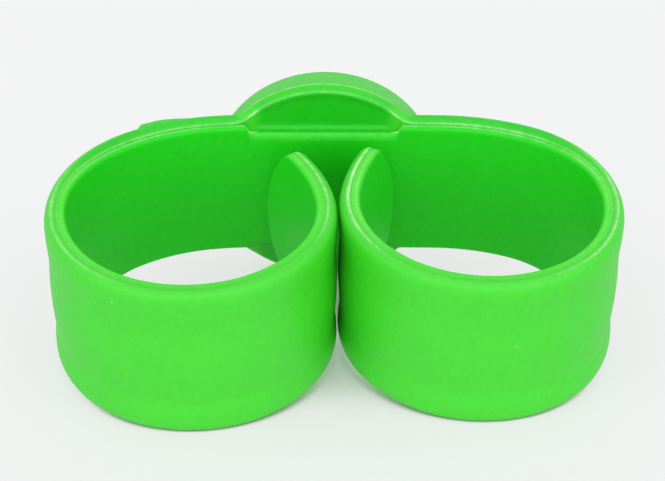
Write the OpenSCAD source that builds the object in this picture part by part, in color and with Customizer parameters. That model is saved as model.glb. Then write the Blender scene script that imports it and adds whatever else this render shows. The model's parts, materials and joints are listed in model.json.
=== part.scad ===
/* [Band] */
// Length of band in each curl, from the flat behind the disc to the tip
curl_len = 109; // [95:0.5:122]
// Width of the band
band_w = 22; // [18:0.5:26]
// Thickness of the outer layer in the grooves beside its two edge beads
outer_t = 1.5; // [1.2:0.05:2]
// Depth of those grooves below the beads and below the middle of the outer face
bead_h = 0.25; // [0.1:0.05:0.6]
// Width of each edge bead
bead_w = 3.4; // [2.6:0.1:4]
// Length of the rounded tongue at each tip
tongue_len = 4.7; // [3:0.1:8]

/* [Lining] */
// Thickness of the lining along the inner face
lining_t = 1.1; // [0.8:0.05:1.4]
// Width of the lining between the two lobe pockets
lining_w = 18.5; // [16:0.5:19]
// Width of the seam between the outer layer and the lining
seam_gap = 0.06; // [0.04:0.01:0.15]
// How far the lining's edge stays short of the outer layer's edge
lining_step = 0.7; // [0.3:0.05:1]
// Height over which the lining's edge rounds into its inner face
lining_round = 1.3; // [0.8:0.1:1.8]

/* [Disc] */
// Diameter of the disc on the outer face
disc_d = 31; // [28:0.5:36]
// Thickness of the disc
disc_t = 3.8; // [2:0.1:6]
// Rounding of the disc's far rim
disc_round = 0.7; // [0.3:0.1:1.5]
// Clearance between the disc and the pad that it sits on
disc_seat = 0.06; // [0.04:0.01:0.15]
// How far the disc is fixed to the right of the lobes' middle
disc_shift = 0.2; // [-0.4:0.1:0.4]

/* [Lobes] */
// How far the lobes reach past the disc
lobe_margin = 0.4; // [0:0.1:1.5]
// Fillet where a lobe's outline meets the band's edge
lobe_fillet = 3; // [1.5:0.5:5]
// Depth of the lobe pockets below the lining's inner face
pocket_depth = 1.4; // [1.1:0.1:1.8]
// Rise of the pocket's sloping lower side
pocket_rise = 0.8; // [0.4:0.1:1]
// Width of the lip that runs round a lobe
lip_w = 1.4; // [0.8:0.1:1.8]
// How far that lip stands in front of the pocket's floor
lip_h = 0.4; // [0.1:0.05:0.6]
// Length over which a pocket's end fades out along the band
pocket_fade = 1.8; // [1:0.2:4]

/* [Curls] */
// Clear gap between the two curls where they come closest
curl_gap = 0.3; // [0.3:0.1:3]
// How far that gap lies to the right of the disc's middle
meet_x = 1.8; // [-4:0.2:4]

/* [Smoothness] */
// Sections along each lobe's half
lobe_steps = 16; // [10:1:20]
// Sections along each curl
curl_steps = 48; // [36:1:60]
// Sections along each rounded tongue
tongue_steps = 8; // [5:1:12]

/* [Hidden] */
$fn = 96;

// Bends of each curl from the flat to the tip, a row for each stretch.
// Columns: share of the curl's length, and its turn in degrees.
SHARE = 0;
TURN = 1;
left_bends = [
    [0.06, 8], [0.10, 25], [0.14, 47], [0.14, 46],
    [0.14, 52], [0.14, 51], [0.14, 51], [0.14, 35]];
right_bends = [
    [0.06, 1], [0.10, 22], [0.14, 51], [0.14, 46],
    [0.14, 54], [0.14, 52], [0.14, 50], [0.14, 29]];

// Rounded edge of the outer layer, from its bead over the crest towards the seam.
// Columns: place across the layer as a share of its depth at the bead, drop as a share of bead_w,
// and the place across on a lobe, whose crest lies further back.
ACROSS = 0;
DROP = 1;
LOBE_ACROSS = 2;
outer_edge = [
    [1, 0.7, 1], [1, 0.32, 1], [0.93, 0.15, 1],
    [0.76, 0.04, 0.96], [0.5, 0, 0.88], [0.16, 0.03, 0.4]];
crest_row = 4;
// Drop of the edge at the seam and at a lobe's lip, as shares of bead_w
seam_drop = 0.07;
lip_drop = 0.025;
// The outer face's flat middle reaches this share of the half width
middle_share = 0.4;

// Rounded edge of the lining, from the seam to its inner face.
// Columns: place across the lining as a share of lining_t, drop as a share of lining_round.
lining_edge = [[0, 0], [0.45, 0.12], [0.85, 0.45], [1, 1]];

// Resting heights of the seam-side points where there is no pocket, as shares of the half width.
plain_low = 0.5;
plain_mid = 0.6;
plain_high = 0.75;

// The path runs along the middle of the band, with the disc's axis along +Y and the width along Z.
LEFT = -1;
RIGHT = 1;
half_w = band_w / 2;
face_y = (outer_t + lining_t) / 2;
seam_y = face_y - outer_t;
reach = face_y + bead_h;
disc_r = disc_d / 2;
lobe_r = disc_r + lobe_margin;
disc_y = reach + disc_seat;
pocket_y = pocket_depth - face_y;
tip_angle = 3;

// Ends of the lobe's arc and of its fillet, along the band from the disc's middle
fillet_end = sqrt(pow(lobe_r + lobe_fillet, 2) - pow(half_w + lobe_fillet, 2));
lobe_end = fillet_end * lobe_r / (lobe_r + lobe_fillet);
tongue_r = (half_w * half_w + tongue_len * tongue_len) / (2 * tongue_len);

// Step made by an arc of a given length that starts at heading a and turns by t
function arc_step(len, a, t) =
    t == 0 ? len * [cos(a), -sin(a)]
    : len * 180 / (PI * t) * [sin(a + t) - sin(a), cos(a + t) - cos(a)];

// Start of row i of a bend table on a curl of length 1: share, place and heading
function bend_start(bends, i) =
    i == 0 ? [0, [0, 0], 0]
    : let (before = bend_start(bends, i - 1), row = bends[i - 1])
        [before[0] + row[SHARE],
         before[1] + arc_step(row[SHARE], before[2], row[TURN]),
         before[2] + row[TURN]];
function bend_starts(bends) = [for (i = [0:len(bends) - 1]) bend_start(bends, i)];

// Place and heading at share q of a curl of length 1
function on_curl(bends, starts, q) =
    let (i = max([for (j = [0:len(bends) - 1]) starts[j][0] <= q ? j : 0]),
         part = q - starts[i][0],
         turn = bends[i][TURN] * part / bends[i][SHARE])
    [starts[i][1] + arc_step(part, starts[i][2], turn), starts[i][2] + turn];

// The flat behind the disc is as long as the gap between the curls asks for
function bends_of(side) = side == LEFT ? left_bends : right_bends;
function inward_share(side) =
    let (bends = bends_of(side), starts = bend_starts(bends))
    min([for (i = [0:curl_steps]) on_curl(bends, starts, i / curl_steps)[0][0]]);
function flat_len(side) = curl_gap / 2 + side * meet_x + reach - curl_len * inward_share(side);
function side_len(side) = flat_len(side) + curl_len;

// Place and heading at distance s from the disc's middle along one side
function on_band(side, bends, starts, flat, s) =
    let (spot = s < flat ? [[s, 0], 0] : on_curl(bends, starts, (s - flat) / curl_len),
         place = s < flat ? spot[0] : [flat, 0] + curl_len * spot[0])
    [[side * place[0], place[1]], spot[1]];

// Distances from the disc's middle at which one side has a section
function sections(side) =
    let (whole = side_len(side),
         straight = whole - tongue_len,
         open = asin(half_w / tongue_r))
    concat(
        [for (i = [0:lobe_steps]) fillet_end * i / lobe_steps],
        [for (i = [1:curl_steps]) fillet_end + (straight - fillet_end) * i / curl_steps],
        [for (i = [1:tongue_steps])
            let (a = open + (tip_angle - open) * i / tongue_steps)
            whole - tongue_r * (1 - cos(a))]);

// Half height of the outer layer: lobe, fillet, plain edge and rounded tongue
function half_height(s, whole) =
    s < lobe_end ? sqrt(lobe_r * lobe_r - s * s)
    : s < fillet_end ? half_w + lobe_fillet - sqrt(pow(lobe_fillet, 2) - pow(fillet_end - s, 2))
    : whole - s < tongue_len ? sqrt(pow(tongue_r, 2) - pow(tongue_r - (whole - s), 2))
    : half_w;

// 1 beside the disc's middle and 0 past the pockets' ends
function smooth(x) = let (t = min(1, max(0, x))) t * t * (3 - 2 * t);
function in_pocket(s) = smooth((lobe_end - s) / pocket_fade);
function in_pad(s) = smooth((fillet_end + pocket_fade - s) / pocket_fade);
function mix(a, b, k) = a + (b - a) * k;

// Place across of a row of the outer layer's edge, where k is 1 on a lobe and 0 past it
function edge_place(row, k) = mix(seam_y, reach, mix(row[ACROSS], row[LOBE_ACROSS], k));

// Upper half of the outer layer's section, from the outer face round the edge to the seam
function outer_half(s, whole) =
    let (h = half_height(s, whole),
         k = in_pocket(s),
         edge = min(bead_w, h * plain_mid),
         face = mix(face_y, reach, in_pad(s)),
         seam = seam_y + seam_gap / 2)
    concat(
        [[reach, h * middle_share], [face, h - edge]],
        [for (row = outer_edge) [edge_place(row, k), h - edge * row[DROP]]],
        [[mix(seam, pocket_y - lip_h, k), h - edge * mix(seam_drop, lip_drop, k)],
         [mix(seam, pocket_y, k), mix(h * plain_high, h - lip_w, k)],
         [mix(seam, pocket_y, k), mix(h * plain_mid, lining_w / 2 + pocket_rise, k)],
         [seam, mix(h * plain_low, lining_w / 2, k)]]);

// Upper half of the lining's section, from the seam round its edge to its inner face
function lining_half(s, whole) =
    let (h = half_height(s, whole),
         top = mix(min(h, half_w) - min(lining_step, h / 2), lining_w / 2, in_pocket(s)),
         edge = min(lining_round, top * plain_high))
    [for (row = lining_edge) [mix(seam_y - seam_gap / 2, -face_y, row[ACROSS]), top - edge * row[DROP]]];

function upper_half(kind, s, whole) = kind == "outer" ? outer_half(s, whole) : lining_half(s, whole);

// A section's points in space: its upper half, then its lower half in turn
function ring(kind, side, s, whole, spot) =
    let (upper = upper_half(kind, s, whole),
         last = len(upper) - 1,
         out = [side * sin(spot[1]), cos(spot[1])],
         flat = concat(upper, [for (i = [last:-1:0]) [upper[i][0], -upper[i][1]]]))
    [for (p = flat) [spot[0][0] + out[0] * p[0], spot[0][1] + out[1] * p[0], p[1]]];

function rings(kind, side) =
    let (bends = bends_of(side), starts = bend_starts(bends), flat = flat_len(side), whole = side_len(side))
    [for (s = sections(side)) ring(kind, side, s, whole, on_band(side, bends, starts, flat, s))];

// Both sides as one run of rings, from the left tip through the disc's middle to the right tip
function all_rings(kind) =
    let (left = rings(kind, LEFT), right = rings(kind, RIGHT))
    concat([for (i = [len(left) - 1:-1:1]) left[i]], right);

function join(lists) = [for (list = lists) each list];
function average(points) = [for (p = points) 1] * points / len(points);

// A closed skin over a run of rings, with a fan over each end
module sweep(run) {
    n = len(run[0]);
    count = len(run);
    points = concat(join(run), [average(run[0]), average(run[count - 1])]);
    walls = [for (i = [0:count - 2], j = [0:n - 1])
        let (k = (j + 1) % n, a = i * n + j, b = i * n + k, c = a + n, d = b + n)
        each [[a, c, b], [b, c, d]]];
    ends = [for (j = [0:n - 1])
        let (k = (j + 1) % n, far = (count - 1) * n)
        each [[j, k, n * count], [far + k, far + j, n * count + 1]]];
    polyhedron(points = points, faces = concat(walls, ends));
}

// The band rests on the lower lobe's lip and on the front of both curls' lower edges
outer_run = all_rings("outer");
lobe_foot = [0, pocket_y - lip_h, bead_w * lip_drop - lobe_r];
rows_before_edge = 2;
upper_rows = len(outer_half(0, curl_len));
crest_point = 2 * upper_rows - 1 - rows_before_edge - crest_row;
function front_of(points) = let (y = min([for (p = points) p[1]])) [for (p = points) if (p[1] == y) p][0];
middle_ring = (len(outer_run) - 1) / 2;
left_foot = front_of([for (i = [0:middle_ring]) outer_run[i][crest_point]]);
right_foot = front_of([for (i = [middle_ring:len(outer_run) - 1]) outer_run[i][crest_point]]);
across_feet = cross(right_foot - lobe_foot, left_foot - lobe_foot);
floor_normal = across_feet / norm(across_feet) * sign(across_feet[2]);
rest_pitch = atan(floor_normal[1] / floor_normal[2]);
rest_roll = -atan(floor_normal[0] / norm([floor_normal[1], floor_normal[2]]));

// A point after the band has leaned to its resting pose
function pitched(p) = [p[0], p[1] * cos(rest_pitch) - p[2] * sin(rest_pitch),
                       p[1] * sin(rest_pitch) + p[2] * cos(rest_pitch)];
function rolled(p) = [p[0] * cos(rest_roll) + p[2] * sin(rest_roll), p[1],
                      p[2] * cos(rest_roll) - p[0] * sin(rest_roll)];
function leaned(p) = rolled(pitched(p));

// The origin lies on the floor under the middle of the whole box
leaned_points = [for (p = join(outer_run)) leaned(p)];
disc_back = leaned([disc_shift, disc_y + disc_t - disc_round, disc_round - disc_r])[1] + disc_round;
middle_x = (min([for (p = leaned_points) p[0]]) + max([for (p = leaned_points) p[0]])) / 2;
middle_y = (min([for (p = leaned_points) p[1]]) + disc_back) / 2;
floor_z = leaned(lobe_foot)[2];

module at_rest() {
    translate([-middle_x, -middle_y, -floor_z])
        rotate([rest_pitch, rest_roll, 0])
            children();
}

// Outer silicone layer with beaded edges, two lobes and a rounded tongue at each tip
module outer_band() {
    color([0.31, 0.88, 0.24])
        at_rest() sweep(outer_run);
}

// Thin silicone lining along the inner face, narrower between the lobe pockets
module lining() {
    color([0.13, 0.72, 0.11])
        at_rest() sweep(all_rings("lining"));
}

// Round silicone disc on the outer face, with a plain far face
module disc() {
    color([0.42, 0.84, 0.38])
        at_rest()
            translate([disc_shift, disc_y, 0])
                rotate([-90, 0, 0])
                    rotate_extrude() {
                        square([disc_r - disc_round, disc_t]);
                        square([disc_r, disc_t - disc_round]);
                        translate([disc_r - disc_round, disc_t - disc_round])
                            circle(r = disc_round);
                    }
}

outer_band();
lining();
disc();
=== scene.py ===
import json
import math

import bmesh
import bpy
import numpy as np
from mathutils import Euler, Matrix, Vector


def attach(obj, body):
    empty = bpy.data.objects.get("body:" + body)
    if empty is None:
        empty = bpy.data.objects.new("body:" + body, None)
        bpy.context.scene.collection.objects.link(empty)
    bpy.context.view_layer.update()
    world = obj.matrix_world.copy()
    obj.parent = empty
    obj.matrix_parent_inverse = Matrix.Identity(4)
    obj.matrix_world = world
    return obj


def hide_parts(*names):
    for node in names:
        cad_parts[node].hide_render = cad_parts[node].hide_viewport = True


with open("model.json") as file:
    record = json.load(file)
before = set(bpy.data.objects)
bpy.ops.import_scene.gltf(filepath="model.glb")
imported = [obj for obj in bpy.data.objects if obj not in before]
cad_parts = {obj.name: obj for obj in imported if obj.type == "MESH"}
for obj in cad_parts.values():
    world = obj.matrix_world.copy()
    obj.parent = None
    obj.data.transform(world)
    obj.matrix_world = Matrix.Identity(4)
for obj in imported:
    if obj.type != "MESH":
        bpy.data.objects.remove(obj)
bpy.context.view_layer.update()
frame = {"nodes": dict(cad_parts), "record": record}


# The studio: a pale acrylic table, lit from below, with no visible horizon. The light
# tent is brighter round its walls than at its top, and a broad soft lamp shines from
# each side in front. The camera looks down from in front, as in the photograph.
MM = 0.001
CAMERA_PLACE = Vector((-1.89, -204.1, 128.9)) * MM
CAMERA_RIGHT = Vector((0.99997, -0.00819, -0.00018))
CAMERA_AHEAD = Vector((0.00708, 0.875, -0.48406))
CAMERA_LENS = 95.5
CAMERA_SENSOR = 36
CAMERA_NEAR = 10 * MM
TENT_COLOUR = (0.97, 0.985, 1.0, 1.0)
TENT_WALLS = 1.0
TENT_TOP = 0.78
LAMP_STRENGTH = 1.15
LAMP_SPREAD = 70
LAMP_AIMS = {"left_lamp": (0.5, 0.68, -0.5), "right_lamp": (-0.5, 0.68, -0.5)}
TABLE_HALF = 3.0
TABLE_FINISH = {"Base Color": (0.2, 0.2, 0.2, 1.0), "Roughness": 0.6, "Specular IOR Level": 0.2}
TABLE_GLOW_SEEN = 0.64
TABLE_GLOW_CAST = 0.62
TABLE_PAINTED_SHADOW_REACH = 25 * MM
# Painted shadow on the table's glow close to the bracelet, darker and greener where less sky is
# open: share of open sky, and colour
TABLE_PAINTED_SHADOW = [(0.04, (0.04, 0.1, 0.04, 1)), (0.2, (0.1, 0.32, 0.09, 1)),
               (0.36, (0.95, 0.965, 0.95, 1)), (0.7, (1, 1, 1, 1))]


def add_node(tree, kind, values=None, **settings):
    """A new node of a tree, with values for its inputs and settings of its own."""
    node = tree.nodes.new(kind)
    for key, value in settings.items():
        setattr(node, key, value)
    for socket, value in (values or {}).items():
        node.inputs[socket].default_value = value
    return node


lens = bpy.data.cameras.new("camera")
lens.lens = CAMERA_LENS
lens.sensor_width = CAMERA_SENSOR
lens.clip_start = CAMERA_NEAR
camera = bpy.data.objects.new("camera", lens)
bpy.context.scene.collection.objects.link(camera)
camera_up = CAMERA_RIGHT.cross(CAMERA_AHEAD)
turn = Matrix((CAMERA_RIGHT, camera_up, -CAMERA_AHEAD)).transposed().to_4x4()
camera.matrix_world = Matrix.Translation(CAMERA_PLACE) @ turn
bpy.context.scene.camera = camera

world = bpy.data.worlds.new("light_tent")
world.use_nodes = True
tent_tree = world.node_tree
tent = tent_tree.nodes["Background"]
tent.inputs["Color"].default_value = TENT_COLOUR
tent_place = add_node(tent_tree, "ShaderNodeTexCoord")
tent_parts = add_node(tent_tree, "ShaderNodeSeparateXYZ")
tent_fade = add_node(tent_tree, "ShaderNodeMapRange", {"To Min": TENT_WALLS, "To Max": TENT_TOP})
tent_tree.links.new(tent_place.outputs["Generated"], tent_parts.inputs[0])
tent_tree.links.new(tent_parts.outputs["Z"], tent_fade.inputs["Value"])
tent_tree.links.new(tent_fade.outputs[0], tent.inputs["Strength"])
bpy.context.scene.world = world
bpy.context.scene.view_settings.view_transform = "Standard"

for title, aim in LAMP_AIMS.items():
    light = bpy.data.lights.new(title, "SUN")
    light.energy = LAMP_STRENGTH
    light.angle = math.radians(LAMP_SPREAD)
    lamp = bpy.data.objects.new(title, light)
    lamp.rotation_euler = Vector(aim).to_track_quat("-Z", "Y").to_euler()
    bpy.context.scene.collection.objects.link(lamp)

corners = [(-TABLE_HALF, -TABLE_HALF, 0), (TABLE_HALF, -TABLE_HALF, 0),
           (TABLE_HALF, TABLE_HALF, 0), (-TABLE_HALF, TABLE_HALF, 0)]
table_mesh = bpy.data.meshes.new("table_top")
table_mesh.from_pydata(corners, [], [(0, 1, 2, 3)])
table_top = bpy.data.objects.new("table_top", table_mesh)
bpy.context.scene.collection.objects.link(table_top)
table_paint = bpy.data.materials.new("matt_white_table")
table_paint.use_nodes = True
table_tree = table_paint.node_tree
table_seen = table_tree.nodes["Principled BSDF"]
table_cast = add_node(table_tree, "ShaderNodeBsdfPrincipled")
# Painted shadow: the glow darkens and turns green where the bracelet hides the open sky
table_sky = add_node(table_tree, "ShaderNodeAmbientOcclusion", {"Distance": TABLE_PAINTED_SHADOW_REACH})
table_painted_shadow = add_node(table_tree, "ShaderNodeValToRGB")
table_stops = table_painted_shadow.color_ramp.elements
for place, _ in TABLE_PAINTED_SHADOW[1:-1]:
    table_stops.new(place)
for stop, (place, colour) in zip(table_stops, TABLE_PAINTED_SHADOW):
    stop.position = place
    stop.color = colour
table_tree.links.new(table_sky.outputs["AO"], table_painted_shadow.inputs[0])
for table_shader, glow in ((table_seen, TABLE_GLOW_SEEN), (table_cast, TABLE_GLOW_CAST)):
    for socket, value in TABLE_FINISH.items():
        table_shader.inputs[socket].default_value = value
    table_shader.inputs["Emission Strength"].default_value = glow
    table_tree.links.new(table_painted_shadow.outputs[0], table_shader.inputs["Emission Color"])
table_ray = add_node(table_tree, "ShaderNodeLightPath")
table_mix = add_node(table_tree, "ShaderNodeMixShader")
table_tree.links.new(table_ray.outputs["Is Camera Ray"], table_mix.inputs[0])
table_tree.links.new(table_cast.outputs[0], table_mix.inputs[1])
table_tree.links.new(table_seen.outputs[0], table_mix.inputs[2])
table_tree.links.new(table_mix.outputs[0], table_tree.nodes["Material Output"].inputs["Surface"])
table_mesh.materials.append(table_paint)


# The outer layer: one moulded silicone skin from tip to tip, with a round bead along
# both edges, a crescent lobe above and below the disc, and a shallow pocket in each
# lobe's front. It is moulded flat, so it is drawn flat here and then rolled up.

# How the bracelet curls up on both sides of its disc. The path runs along the middle
# of the band's thickness, from the left tip to the right tip. Each row of a bend table
# is a stretch: its share of the curl's length, and its turn in degrees.
LEFT_BENDS = [(0.06, 8), (0.10, 25), (0.14, 47), (0.14, 46),
              (0.14, 52), (0.14, 51), (0.14, 51), (0.14, 35)]
RIGHT_BENDS = [(0.06, 1), (0.10, 22), (0.14, 51), (0.14, 46),
               (0.14, 54), (0.14, 52), (0.14, 50), (0.14, 29)]
CURL_LENGTH = 109.0
PATH_STEP = 0.2
# The two curls nearly touch beside the middle: the gap between them, its place across,
# and how far the outer face lies outside the path
CURL_GAP = 0.12
MEET_X = 1.8
REACH = 1.55


def curl(bends):
    """Places along one curl of length 1, in small steps: across, and forward."""
    count = int(CURL_LENGTH / PATH_STEP)
    shares = np.cumsum([0] + [row[0] for row in bends])
    turns = np.cumsum([0] + [row[1] for row in bends])
    heading = np.radians(np.interp(np.linspace(0, 1, count + 1), shares, turns))
    middle = (heading[1:] + heading[:-1]) / 2
    across = np.concatenate([[0], np.cumsum(np.cos(middle))]) / count
    forward = -np.concatenate([[0], np.cumsum(np.sin(middle))]) / count
    return across, forward


def flat_length(side, bends):
    """Length of the straight stretch from the disc's middle to one curl's start."""
    return CURL_GAP / 2 + side * MEET_X + REACH - CURL_LENGTH * curl(bends)[0].min()


def path_points(side, bends):
    flat = flat_length(side, bends)
    return [(side * (flat + CURL_LENGTH * x), CURL_LENGTH * y) for x, y in zip(*curl(bends))]


left_whole = flat_length(-1, LEFT_BENDS) + CURL_LENGTH
right_whole = flat_length(1, RIGHT_BENDS) + CURL_LENGTH
route = path_points(-1, LEFT_BENDS)[::-1] + path_points(1, RIGHT_BENDS)

path_curve = bpy.data.curves.new("band_path", "CURVE")
path_curve.dimensions = "3D"
spline = path_curve.splines.new("POLY")
spline.points.add(len(route) - 1)
for point, (x, y) in zip(spline.points, route):
    point.co = (x * MM, y * MM, 0, 1)
band_path = bpy.data.objects.new("band_path", path_curve)
bpy.context.scene.collection.objects.link(band_path)

# The curled bracelet leans forward on three points. The frame's mount on the disc's
# far face gives that lean and the place of the disc's middle.
DISC_SHIFT = 0.2
DISC_FAR_Y = 5.41
mount = frame["record"]["mounts"][0]
lean_axis = Vector(mount["axis"])
pitch = math.atan2(math.hypot(lean_axis[0], lean_axis[2]), lean_axis[1])
roll = math.atan2(lean_axis[0], lean_axis[2])
lean = Euler((pitch, roll, 0))
disc_middle = Vector((DISC_SHIFT * MM, DISC_FAR_Y * MM, 0))
stand = Vector(mount["pos_m"]) - lean.to_matrix() @ disc_middle

# This tree rolls a flat moulded piece along the path: X along the path, Y outwards
# and Z upwards. Then it stands the piece in its resting lean and gives it its finish.
roll_up_inputs = [("Flat piece", "NodeSocketGeometry", None), ("Path", "NodeSocketObject", None),
                  ("Left length", "NodeSocketFloat", left_whole * MM),
                  ("Lean", "NodeSocketVector", tuple(lean)),
                  ("Stand", "NodeSocketVector", tuple(stand)),
                  ("Finish", "NodeSocketMaterial", None)]
roll_up = bpy.data.node_groups.new("roll_up", "GeometryNodeTree")
for title, kind, value in roll_up_inputs:
    socket = roll_up.interface.new_socket(title, in_out="INPUT", socket_type=kind)
    if value is not None:
        socket.default_value = value
roll_up.interface.new_socket("Rolled piece", in_out="OUTPUT", socket_type="NodeSocketGeometry")
roll_link = roll_up.links.new
entry = add_node(roll_up, "NodeGroupInput")
place = add_node(roll_up, "GeometryNodeInputPosition")
parts = add_node(roll_up, "ShaderNodeSeparateXYZ")
roll_link(place.outputs[0], parts.inputs[0])
along = add_node(roll_up, "ShaderNodeMath")
roll_link(parts.outputs["X"], along.inputs[0])
roll_link(entry.outputs["Left length"], along.inputs[1])
path = add_node(roll_up, "GeometryNodeObjectInfo")
roll_link(entry.outputs["Path"], path.inputs["Object"])
sample = add_node(roll_up, "GeometryNodeSampleCurve", mode="LENGTH")
roll_link(path.outputs["Geometry"], sample.inputs["Curves"])
roll_link(along.outputs[0], sample.inputs["Length"])
outward = add_node(roll_up, "ShaderNodeVectorMath", {0: (0, 0, 1)}, operation="CROSS_PRODUCT")
roll_link(sample.outputs["Tangent"], outward.inputs[1])
lifted = add_node(roll_up, "ShaderNodeVectorMath", operation="SCALE")
roll_link(outward.outputs[0], lifted.inputs[0])
roll_link(parts.outputs["Y"], lifted.inputs["Scale"])
moved = add_node(roll_up, "ShaderNodeVectorMath")
roll_link(sample.outputs["Position"], moved.inputs[0])
roll_link(lifted.outputs[0], moved.inputs[1])
height = add_node(roll_up, "ShaderNodeCombineXYZ")
roll_link(parts.outputs["Z"], height.inputs["Z"])
rolled = add_node(roll_up, "ShaderNodeVectorMath")
roll_link(moved.outputs[0], rolled.inputs[0])
roll_link(height.outputs[0], rolled.inputs[1])
shape = add_node(roll_up, "GeometryNodeSetPosition")
roll_link(entry.outputs["Flat piece"], shape.inputs["Geometry"])
roll_link(rolled.outputs[0], shape.inputs["Position"])
rest = add_node(roll_up, "GeometryNodeTransform")
roll_link(shape.outputs["Geometry"], rest.inputs["Geometry"])
roll_link(entry.outputs["Lean"], rest.inputs["Rotation"])
roll_link(entry.outputs["Stand"], rest.inputs["Translation"])
real = add_node(roll_up, "GeometryNodeRealizeInstances")
roll_link(rest.outputs["Geometry"], real.inputs["Geometry"])
finish = add_node(roll_up, "GeometryNodeSetMaterial")
roll_link(real.outputs["Geometry"], finish.inputs["Geometry"])
roll_link(entry.outputs["Finish"], finish.inputs["Material"])
ending = add_node(roll_up, "NodeGroupOutput")
roll_link(finish.outputs["Geometry"], ending.inputs[0])


def rolled_piece(flat_piece, name, **values):
    """Rolls a flat piece up and gives the result as a plain mesh object."""
    modifier = flat_piece.modifiers.new(roll_up.name, "NODES")
    modifier.node_group = roll_up
    for item in roll_up.interface.items_tree:
        key = item.name.lower().replace(" ", "_")
        if item.in_out == "INPUT" and key in values:
            modifier[item.identifier] = values[key]
    bpy.context.view_layer.update()
    seen = flat_piece.evaluated_get(bpy.context.evaluated_depsgraph_get())
    mesh = bpy.data.meshes.new_from_object(seen)
    bpy.data.objects.remove(flat_piece)
    mesh.name = name
    piece = bpy.data.objects.new(name, mesh)
    bpy.context.scene.collection.objects.link(piece)
    return piece


# Sizes of the flat outer layer in millimetres. Distances along it start at the middle
# of the lobes.
HALF_WIDTH = 11.0
LOBE_RADIUS = 15.9
LOBE_FILLET = 3.0
TONGUE_LENGTH = 4.7
CORNER_RADIUS = 2.2
POCKET_FADE = 1.8
# Heights where a pocket's floor turns into its ledge and the ledge into the seam side,
# and the most that these take of the seam's height near a tip
LEDGE_BACK = 10.05
LEDGE_FRONT = 9.25
LEDGE_BACK_SHARE = 0.95
LEDGE_FRONT_SHARE = 0.88
SEAM_Y = -0.2
FLOOR_Y = 0.1
# Points round the lobe, its fillet, the tongue's corner and the tongue
LOBE_POINTS = 44
FILLET_POINTS = 9
CORNER_POINTS = 9
TONGUE_POINTS = 41
OUTLINE_STEP = 0.45
MERGE_REACH = 2e-6
# Rows of points from the face's middle to its edge, and across the seam side
FACE_ROWS = 14
FLOOR_ROWS = 6
LEDGE_ROWS = 5
BACK_ROWS = 5
# Outer face from the band's middle to its edge: height as a share, and depth there.
# The face dips into a shallow groove beside each bead.
UPPER_FACE = [(0, 1.54), (0.15, 1.52), (0.38, 1.4), (0.52, 1.37),
              (0.66, 1.41), (0.8, 1.51), (1, 1.54)]
LOWER_FACE = [(0, 1.54), (0.2, 1.52), (0.45, 1.4), (0.62, 1.27),
              (0.72, 1.3), (0.84, 1.49), (1, 1.54)]
# Edge from the bead over the crest down into the seam. Columns: drop and place across
# towards the tips, then the same behind the curls, where the crest stands up more, and
# on a lobe, down to its pocket's floor.
OUTER_EDGE = [
    (1.7, 1.54, 1.7, 1.54, 1.5, 1.55), (1.25, 1.5, 1.25, 1.54, 1.15, 1.55),
    (0.9, 1.43, 0.9, 1.53, 0.85, 1.55), (0.62, 1.34, 0.62, 1.5, 0.62, 1.53),
    (0.42, 1.23, 0.42, 1.44, 0.45, 1.49), (0.28, 1.11, 0.27, 1.36, 0.33, 1.43),
    (0.18, 0.98, 0.16, 1.26, 0.24, 1.35), (0.1, 0.86, 0.08, 1.14, 0.15, 1.26),
    (0.05, 0.76, 0.03, 1.02, 0.07, 1.18), (0.015, 0.66, 0.01, 0.94, 0.01, 1.14),
    (0.0, 0.58, 0.0, 0.88, 0.0, 1.1), (0.01, 0.5, 0.015, 0.8, 0.01, 1.06),
    (0.03, 0.4, 0.06, 0.68, 0.06, 1.0), (0.05, 0.27, 0.17, 0.5, 0.15, 0.8),
    (0.06, 0.14, 0.32, 0.32, 0.28, 0.5), (0.065, 0.02, 0.46, 0.16, 0.39, 0.28),
    (0.068, -0.08, 0.58, 0.04, 0.5, 0.14), (0.07, -0.18, 0.66, -0.06, 0.62, 0.05),
    (0.072, -0.197, 0.7, -0.13, 0.74, -0.01), (0.08, -0.2, 0.74, -0.19, 0.87, -0.04),
    (0.4, -0.2, 0.9, -0.2, 1.02, -0.05), (0.65, -0.2, 1.0, -0.2, 1.2, -0.02),
    (0.85, -0.2, 1.1, -0.2, 1.4, 0.03), (1.1, -0.2, 1.3, -0.2, 1.6, 0.08)]
CREST_ROWS = (9, 10, 11)
# Where the profile behind the curls blends into the one towards the tips
BLEND_START = 28.0
BLEND_END = 46.0
# How far the crest shifts across near the tips, and how wide a part moves with it
TIP_CREST_SHIFT = 0.3
SHIFT_START = 80
SHIFT_FADE = 15
SHIFT_MIDDLE = 0.58
SHIFT_WIDTH = 0.8
# Where the mould left a thin strip of flash on the upper crest, left of the lobe
FLASH_START = 17.0
FLASH_RISE = 6
FLASH_END = 25.3
FLASH_CUT = 0.4
FLASH_HEIGHT = 0.6
# The right side's crest is slightly uneven where the curl turns forward
UNEVEN_START = 36.0
UNEVEN_END = 62.0
UNEVEN_FADE = 4
UNEVEN_HEIGHT = 0.07
UNEVEN_WAVES = (1.7, 0.63)


def smooth(x):
    t = min(1.0, max(0.0, x))
    return t * t * (3 - 2 * t)


def mix(a, b, k):
    return a + (b - a) * k


def from_rows(rows, x):
    """Value at x between the rows of a table of two columns."""
    return float(np.interp(x, [row[0] for row in rows], [row[1] for row in rows]))


def tipward(s):
    """How far a place along the band has turned from the back's form to the tips'."""
    return smooth((s - BLEND_START) / (BLEND_END - BLEND_START))


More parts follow.
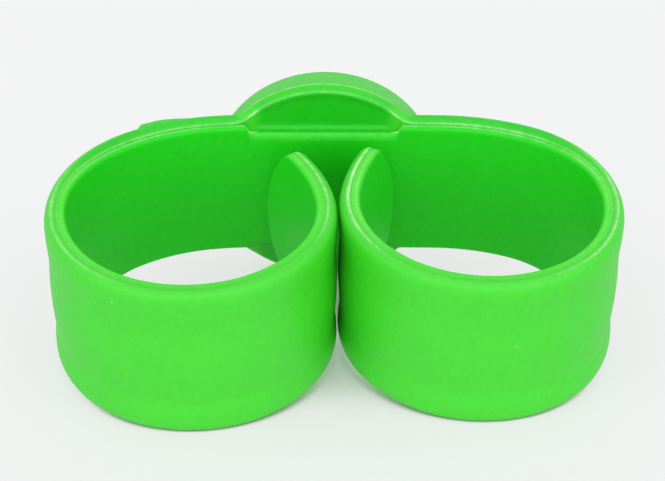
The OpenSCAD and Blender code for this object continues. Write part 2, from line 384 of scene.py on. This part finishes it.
lobe_reach = LOBE_RADIUS + LOBE_FILLET
lobe_open = math.acos((HALF_WIDTH + LOBE_FILLET) / lobe_reach)
fillet_end = lobe_reach * math.sin(lobe_open)
lobe_end = LOBE_RADIUS * math.sin(lobe_open)
tongue_radius = (HALF_WIDTH ** 2 + TONGUE_LENGTH ** 2) / (2 * TONGUE_LENGTH)
tongue_open = math.asin((HALF_WIDTH - CORNER_RADIUS) / (tongue_radius - CORNER_RADIUS))


def on_lobe(s):
    return smooth((lobe_end - s) / POCKET_FADE)


def outline(whole):
    """Points and inward normals of one side's upper edge, from over the disc to the tip."""
    rows = []
    for a in np.linspace(0, lobe_open, LOBE_POINTS):
        out, up = math.sin(a), math.cos(a)
        rows.append((LOBE_RADIUS * out, LOBE_RADIUS * up, -out, -up))
    for a in np.linspace(lobe_open, 0, FILLET_POINTS)[1:]:
        out, up = math.sin(a), math.cos(a)
        rows.append((fillet_end - LOBE_FILLET * out, HALF_WIDTH + LOBE_FILLET - LOBE_FILLET * up,
                     -out, -up))
    centre = whole - tongue_radius
    corner = centre + (tongue_radius - CORNER_RADIUS) * math.cos(tongue_open)
    for s in np.linspace(fillet_end, corner, int((corner - fillet_end) / OUTLINE_STEP) + 1)[1:]:
        rows.append((s, HALF_WIDTH, 0.0, -1.0))
    for a in np.linspace(math.pi / 2, tongue_open, CORNER_POINTS)[1:]:
        out, up = math.cos(a), math.sin(a)
        rows.append((corner + CORNER_RADIUS * out, HALF_WIDTH - CORNER_RADIUS + CORNER_RADIUS * up,
                     -out, -up))
    for a in np.linspace(tongue_open, 0, TONGUE_POINTS)[1:]:
        out, up = math.cos(a), math.sin(a)
        rows.append((centre + tongue_radius * out, tongue_radius * up, -out, -up))
    return rows


def outer_half_rib(row, face, flash):
    """Half a rib of the outer layer: from its face's middle over the edge to the seam's middle."""
    s, z, ns, nz = row
    tip, lobe = tipward(s), on_lobe(s)
    pad = smooth((fillet_end + POCKET_FADE - s) / POCKET_FADE)
    shift = TIP_CREST_SHIFT * smooth((s - SHIFT_START) / SHIFT_FADE)
    edge = []
    for i, (tip_drop, tip_y, back_drop, back_y, lobe_drop, lobe_y) in enumerate(OUTER_EDGE):
        d = mix(mix(back_drop, tip_drop, tip), lobe_drop, lobe) - (flash if i in CREST_ROWS else 0)
        y = mix(mix(back_y, tip_y, tip), lobe_y, lobe)
        y -= shift * max(0, 1 - abs(y - SHIFT_MIDDLE) / SHIFT_WIDTH)
        edge.append((s + ns * d, y, z + nz * d))
    face_s, face_y, face_z = edge[0]
    front = []
    for i in range(FACE_ROWS):
        share = i / FACE_ROWS
        front.append((face_s, mix(from_rows(face, share), face_y, pad), face_z * share))
    seam_s, seam_y, seam_z = edge[-1]
    high = min(LEDGE_BACK, LEDGE_BACK_SHARE * seam_z)
    low = min(LEDGE_FRONT, LEDGE_FRONT_SHARE * seam_z)
    floor_y = mix(SEAM_Y, FLOOR_Y, lobe)
    back = []
    for i in range(1, FLOOR_ROWS + 1):
        t = i / FLOOR_ROWS
        back.append((seam_s, mix(seam_y, floor_y, smooth(2 * t)), mix(seam_z, high, t)))
    for i in range(1, LEDGE_ROWS + 1):
        t = i / LEDGE_ROWS
        back.append((seam_s, mix(floor_y, SEAM_Y, smooth(t)), mix(high, low, t)))
    for i in range(1, BACK_ROWS + 1):
        back.append((seam_s, SEAM_Y, low * (1 - i / BACK_ROWS)))
    return front + edge + back


def outer_rib(row, left):
    """The upper and lower half of a rib, with the flash or the unevenness on the upper crest."""
    s = row[0]
    if left:
        flash = FLASH_HEIGHT * smooth((FLASH_END - s) / FLASH_CUT)
        flash *= smooth((s - FLASH_START) / FLASH_RISE)
    else:
        uneven = smooth((s - UNEVEN_START) / UNEVEN_FADE) * smooth((UNEVEN_END - s) / UNEVEN_FADE)
        waves = math.sin(UNEVEN_WAVES[0] * s) * math.sin(UNEVEN_WAVES[1] * s)
        flash = UNEVEN_HEIGHT * uneven * (1 + waves)
    return outer_half_rib(row, UPPER_FACE, flash), outer_half_rib(row, LOWER_FACE, 0)


# The moulded edges have whitened here and there, and the same pale mark paints highlights
# on the crests. How strong this bloom and painted highlight is along each side: distance
# from the lobes' middle, and strength. The lower edges show little.
LEFT_BLOOM_AND_HIGHLIGHT = [(0, 1.2), (9.5, 1.1), (11, 0.35), (14, 0.2), (20, 0.35), (25, 0.35), (32, 0.25),
              (45, 0.5), (60, 0.35), (68, 0.06), (92, 0.06), (98, 0.4), (112, 0.6), (118, 0.9)]
RIGHT_BLOOM_AND_HIGHLIGHT = [(0, 1.2), (9.5, 1.1), (11, 0.35), (14, 0.2), (20, 0.45), (26, 0.4), (33, 0.25),
               (43, 0.75), (55, 0.6), (62, 0.4), (68, 0.08), (88, 0.08), (95, 0.6), (100, 1.05),
               (108, 1.05), (114, 0.8), (118, 1.0)]
LOWER_BLOOM_AND_HIGHLIGHT = 0.3
# Rows of the edge table that have whitened or carry a painted highlight: towards the tips, behind,
# and on a lobe
OUTER_BLOOM_AND_HIGHLIGHT = {7: (0.1, 0, 0), 8: (0.3, 0, 0.05), 9: (0.6, 0.15, 0.3), 10: (0.7, 0.25, 0.8),
               11: (0.55, 0.15, 0.25), 12: (0.25, 0, 0), 13: (0.1, 0, 0), 16: (0.1, 0.3, 0.05),
               17: (0.3, 0.8, 0.1), 18: (0.45, 0.8, 0.1), 19: (0.3, 0.5, 0)}
# How much painted shade, a darker and purer green for shaded inner parts, each edge row has, on a
# lobe and behind
OUTER_PAINTED_SHADE = [(9, 0.0), (12, 0.4), (15, 0.7), (20, 0.95), (26, 1.0)]
BACK_PAINTED_SHADE = [(4, 0.0), (8, 0.5), (12, 1.0)]


def edge_marks(half_count, edge_start, bloom, s, left):
    """The bloom and painted highlight of one ring's points, given for the rows of a table from
    edge_start on.
    """
    upper = [0.0] * half_count
    strength = from_rows(LEFT_BLOOM_AND_HIGHLIGHT if left else RIGHT_BLOOM_AND_HIGHLIGHT, s)
    for i, (tip, back, lobe) in bloom.items():
        upper[edge_start + i] = strength * mix(mix(back, tip, tipward(s)), lobe, on_lobe(s))
    return upper + [LOWER_BLOOM_AND_HIGHLIGHT * mark for mark in upper[-2:0:-1]]


# Painted shade in the lobe's pocket and, behind the curls, on the crest's inner slope and seam side
def outer_painted_shade(edge_row, s):
    pocket = from_rows(OUTER_PAINTED_SHADE, edge_row) * on_lobe(s)
    behind = smooth((s - lobe_end) / POCKET_FADE) * (1 - tipward(s))
    return max(pocket, from_rows(BACK_PAINTED_SHADE, edge_row) * behind)


def flat_shell(name, rib, edge_start, bloom, inside):
    """A closed flat shell from a function that gives a rib's upper and lower half."""
    rings, whitened, shade_painted = [], [], []
    for side, whole in ((-1, left_whole), (1, right_whole)):
        run, marks, shade_paint = [], [], []
        for row in outline(whole):
            upper, lower = rib(row, side < 0)
            ring = upper + [(s, y, -z) for s, y, z in lower[-2:0:-1]]
            run.append([(side * s * MM, y * MM, z * MM) for s, y, z in ring])
            marks.append(edge_marks(len(upper), edge_start, bloom, row[0], side < 0))
            edge_rows = [min(j, 2 * len(upper) - 2 - j) - edge_start for j in range(len(ring))]
            shade_paint.append([inside(edge_row, row[0]) for edge_row in edge_rows])
        rings = run[:0:-1] if side < 0 else rings + run
        whitened = marks[:0:-1] if side < 0 else whitened + marks
        shade_painted = shade_paint[:0:-1] if side < 0 else shade_painted + shade_paint
    n = len(rings[0])
    faces = []
    for i in range(len(rings) - 1):
        for j in range(n):
            k = (j + 1) % n
            faces.append((i * n + j, (i + 1) * n + j, (i + 1) * n + k, i * n + k))
    mesh = bpy.data.meshes.new(name)
    mesh.from_pydata([point for ring in rings for point in ring], [], faces)
    for title, runs in (("bloom", whitened), ("inside", shade_painted)):
        mark = mesh.attributes.new(title, "FLOAT", "POINT")
        mark.data.foreach_set("value", [value for ring in runs for value in ring])
    skin = bmesh.new()
    skin.from_mesh(mesh)
    bmesh.ops.remove_doubles(skin, verts=skin.verts, dist=MERGE_REACH)
    bmesh.ops.recalc_face_normals(skin, faces=skin.faces)
    skin.to_mesh(mesh)
    skin.free()
    mesh.polygons.foreach_set("use_smooth", [True] * len(mesh.polygons))
    piece = bpy.data.objects.new(name, mesh)
    bpy.context.scene.collection.objects.link(piece)
    return piece


# The look that all the silicone shares: fine mottling, small pale dust specks, the
# whitish bloom with painted highlights, which breaks up along its length, and painted shade.
# Its noises: scale, detail, the two levels that are kept, and what these become.
MOTTLE = (1500, 2, 0.3, 0.7, 0.96, 1.04)
CLOUDS = (110, 2, 0.3, 0.7, 0.985, 1.015)
SPECKS = (1100, 1, 0.77, 0.83, 0.0, 0.16)
BLOOM_BREAKS = (900, 3, 0.35, 0.6, 0.45, 1.0)
GRAIN = {"Strength": 0.04, "Distance": 0.0001}
SHEEN_ROUGHNESS = 0.4
LOOK_INPUTS = [("Colour", "NodeSocketColor", (0.02, 0.6, 0.01, 1)),
               ("Pale colour", "NodeSocketColor", (0.5, 0.9, 0.35, 1)),
               ("Bloom", "NodeSocketFloat", 0.0),
               ("Inside colour", "NodeSocketColor", (0.01, 0.6, 0.005, 1)),
               ("Inside", "NodeSocketFloat", 0.0)]
silicone_look = bpy.data.node_groups.new("silicone_look", "ShaderNodeTree")
for title, kind, value in LOOK_INPUTS:
    socket = silicone_look.interface.new_socket(title, in_out="INPUT", socket_type=kind)
    socket.default_value = value
silicone_look.interface.new_socket("Colour", in_out="OUTPUT", socket_type="NodeSocketColor")
silicone_look.interface.new_socket("Normal", in_out="OUTPUT", socket_type="NodeSocketVector")
look_link = silicone_look.links.new
look_in = add_node(silicone_look, "NodeGroupInput")
look_out = add_node(silicone_look, "NodeGroupOutput")
look_place = add_node(silicone_look, "ShaderNodeTexCoord")


def look_noise(scale, detail, low, high, floor, top):
    """A noise on the object's own coordinates, stretched between two of its levels."""
    noise = add_node(silicone_look, "ShaderNodeTexNoise", {"Scale": scale, "Detail": detail})
    look_link(look_place.outputs["Object"], noise.inputs["Vector"])
    levels = add_node(silicone_look, "ShaderNodeMapRange",
                      {"From Min": low, "From Max": high, "To Min": floor, "To Max": top})
    look_link(noise.outputs[0], levels.inputs["Value"])
    return levels.outputs["Result"]


def look_math(operation, a, b):
    node = add_node(silicone_look, "ShaderNodeMath", operation=operation)
    look_link(a, node.inputs[0])
    look_link(b, node.inputs[1])
    return node.outputs[0]


def look_mix(factor, a, b):
    node = add_node(silicone_look, "ShaderNodeMix", data_type="RGBA")
    for socket, value in (("Factor", factor), ("A", a), ("B", b)):
        look_link(value, node.inputs[socket])
    return node.outputs["Result"]


mottle = look_noise(*MOTTLE)
ground = look_mix(look_in.outputs["Inside"], look_in.outputs["Colour"],
                  look_in.outputs["Inside colour"])
tone = add_node(silicone_look, "ShaderNodeVectorMath", operation="SCALE")
look_link(ground, tone.inputs[0])
look_link(look_math("MULTIPLY", mottle, look_noise(*CLOUDS)), tone.inputs["Scale"])
broken = look_math("MULTIPLY", look_noise(*BLOOM_BREAKS), look_in.outputs["Bloom"])
paleness = look_math("MAXIMUM", broken, look_noise(*SPECKS))
whitened = look_mix(paleness, tone.outputs[0], look_in.outputs["Pale colour"])
look_link(whitened, look_out.inputs["Colour"])
grain = add_node(silicone_look, "ShaderNodeBump", GRAIN)
look_link(mottle, grain.inputs["Height"])
look_link(grain.outputs["Normal"], look_out.inputs["Normal"])


def silicone(name, colour, pale, roughness, gloss, sheen, shade_paint=None):
    """A silicone material; the last argument is the darker colour painted as shade, for a piece
    whose marks paint bloom, highlight and shade.
    """
    material = bpy.data.materials.new(name)
    material.use_nodes = True
    tree = material.node_tree
    shader = tree.nodes["Principled BSDF"]
    for socket, value in (("Roughness", roughness), ("Specular IOR Level", gloss),
                          ("Sheen Weight", sheen), ("Sheen Roughness", SHEEN_ROUGHNESS)):
        shader.inputs[socket].default_value = value
    look = add_node(tree, "ShaderNodeGroup")
    look.node_tree = silicone_look
    look.inputs["Colour"].default_value = (*colour, 1)
    look.inputs["Pale colour"].default_value = (*pale, 1)
    # Marked pieces get painted highlight along the bloom and painted shade, a darker and purer
    # green, from their marks
    if shade_paint:
        look.inputs["Inside colour"].default_value = (*shade_paint, 1)
        for title, attribute in (("Bloom", "bloom"), ("Inside", "inside")):
            mark = add_node(tree, "ShaderNodeAttribute", attribute_name=attribute)
            tree.links.new(mark.outputs["Fac"], look.inputs[title])
    tree.links.new(look.outputs["Colour"], shader.inputs["Base Color"])
    tree.links.new(look.outputs["Normal"], shader.inputs["Normal"])
    return material


# The last colour is the outer layer's painted shade: a darker, purer green than its own
outer_silicone = silicone("outer_silicone", colour=(0.037, 0.555, 0.012), pale=(0.66, 0.96, 0.5),
                          roughness=0.5, gloss=0.5, sheen=0.0, shade_paint=(0.005, 0.46, 0.003))
flat_outer = flat_shell("outer_layer", outer_rib, FACE_ROWS, OUTER_BLOOM_AND_HIGHLIGHT, outer_painted_shade)
outer_layer = rolled_piece(flat_outer, "outer_layer", path=band_path, finish=outer_silicone)
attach(outer_layer, "root")
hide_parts("outer_band")


# The lining: a thinner silicone strip bonded along the band's inner face. Its round
# edge lies below the outer layer's, nearly level with it towards the tips, and it is
# notched to a ledge under each lobe's pocket.
# How far its edge lies below the outer layer's, behind and towards the tips, and how
# much of the distance is left at the very tip
BACK_STEP = 0.76
TIP_STEP = 0.065
TIP_SHARE = 0.4
NOTCH_FADE = 0.8
NOTCH_OVERRUN = 0.2
# How round the edge is at a notch, as a share of its roundness elsewhere
NOTCH_ROUND = 3.1
LOWER_NOTCH_ROUND = 0.5
# Edge of the lining, from the seam round to its inner face. Columns: drop and place
# across behind the lobes, then the same towards the tips.
LINING_EDGE = [
    (0.6, -0.202, 0.6, -0.201), (0.35, -0.202, 0.3, -0.201), (0.03, -0.202, 0.012, -0.201),
    (0.02, -0.21, 0.005, -0.204), (0.02, -0.33, 0.004, -0.215), (0.02, -0.45, 0.0, -0.42),
    (0.0, -0.58, 0.0, -0.63), (0.0, -0.72, 0.0, -0.76), (0.02, -0.84, 0.02, -0.87),
    (0.05, -0.94, 0.06, -0.97), (0.1, -1.04, 0.13, -1.07), (0.17, -1.13, 0.23, -1.15),
    (0.26, -1.2, 0.38, -1.22), (0.38, -1.25, 0.6, -1.27), (0.55, -1.285, 0.95, -1.295),
    (0.8, -1.3, 1.4, -1.3)]
# Whitened rows of the lining's edge; on a lobe they paint a highlight on the ledge's round edge
LINING_BLOOM_AND_HIGHLIGHT = {4: (0.05, 0.2, 0), 5: (0.12, 0.6, 0), 6: (0.25, 1.0, 0), 7: (0.2, 1.0, 0.02),
                8: (0.05, 0.4, 0.04), 9: (0.02, 0.05, 0.06), 10: (0, 0.05, 0.08), 11: (0, 0, 0.08),
                12: (0, 0, 0.05)}
# Behind, the whole lining has the painted shade colour, and towards the tips only its inner face
TIP_PAINTED_SHADE = [(9, 0.0), (13, 1.0)]


def lining_half_rib(row, whole, notch_round):
    """Half a rib of the lining: from the seam's middle over its edge to the inner face's middle."""
    s, z, ns, nz = row
    sharper = mix(1, TIP_SHARE, smooth((s - whole + 2 * TONGUE_LENGTH) / TONGUE_LENGTH))
    if s < fillet_end:
        z, ns, nz = HALF_WIDTH, 0.0, -1.0
    flush = tipward(s)
    step = mix(BACK_STEP, TIP_STEP, flush)
    under_pocket = smooth((lobe_end + NOTCH_OVERRUN - s) / NOTCH_FADE)
    notch = (HALF_WIDTH - step - LEDGE_FRONT) * under_pocket
    edge = []
    for drop, place, tip_drop, tip_place in LINING_EDGE:
        rounded = mix(drop, tip_drop, flush) * mix(1, notch_round, under_pocket)
        d = (step + rounded) * sharper + notch
        edge.append((s + ns * d, mix(place, tip_place, flush), z + nz * d))
    seam_s, seam_y, seam_z = edge[0]
    in_s, in_y, in_z = edge[-1]
    front = [(seam_s, seam_y, seam_z * i / BACK_ROWS) for i in range(BACK_ROWS)]
    back = [(in_s, in_y, in_z * (1 - i / BACK_ROWS)) for i in range(1, BACK_ROWS + 1)]
    return front + edge + back


def lining_rib(row, left):
    whole = left_whole if left else right_whole
    return lining_half_rib(row, whole, NOTCH_ROUND), lining_half_rib(row, whole, LOWER_NOTCH_ROUND)


# Painted shade: the darker, purer green on the lining where it lies in shade
def lining_painted_shade(edge_row, s):
    return mix(1, from_rows(TIP_PAINTED_SHADE, edge_row), tipward(s))


lining_silicone = silicone("lining_silicone", colour=(0.045, 0.62, 0.016), pale=(0.5, 0.92, 0.36),
                           roughness=0.5, gloss=0.3, sheen=0.02, shade_paint=(0.007, 0.545, 0.004))
flat_lining = flat_shell("inner_lining", lining_rib, BACK_ROWS, LINING_BLOOM_AND_HIGHLIGHT, lining_painted_shade)
inner_lining = rolled_piece(flat_lining, "inner_lining", path=band_path, finish=lining_silicone)
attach(inner_lining, "root")
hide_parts("lining")
bpy.data.objects.remove(band_path)


# The disc: a separate round moulding of matt silicone with a rounded rim, fixed on
# the outer face behind the lobes. Its far face is plain. Its solid is right as it is,
# so it only gets its material.
# Its colour is paler than the band's green: painted sheen for the grazing light on its rim
disc_silicone = silicone("disc_silicone", colour=(0.079, 0.52, 0.06), pale=(0.5, 0.9, 0.4),
                         roughness=0.6, gloss=0.5, sheen=0.1)
disc = frame["nodes"]["disc"]
disc.data.materials.clear()
disc.data.materials.append(disc_silicone)
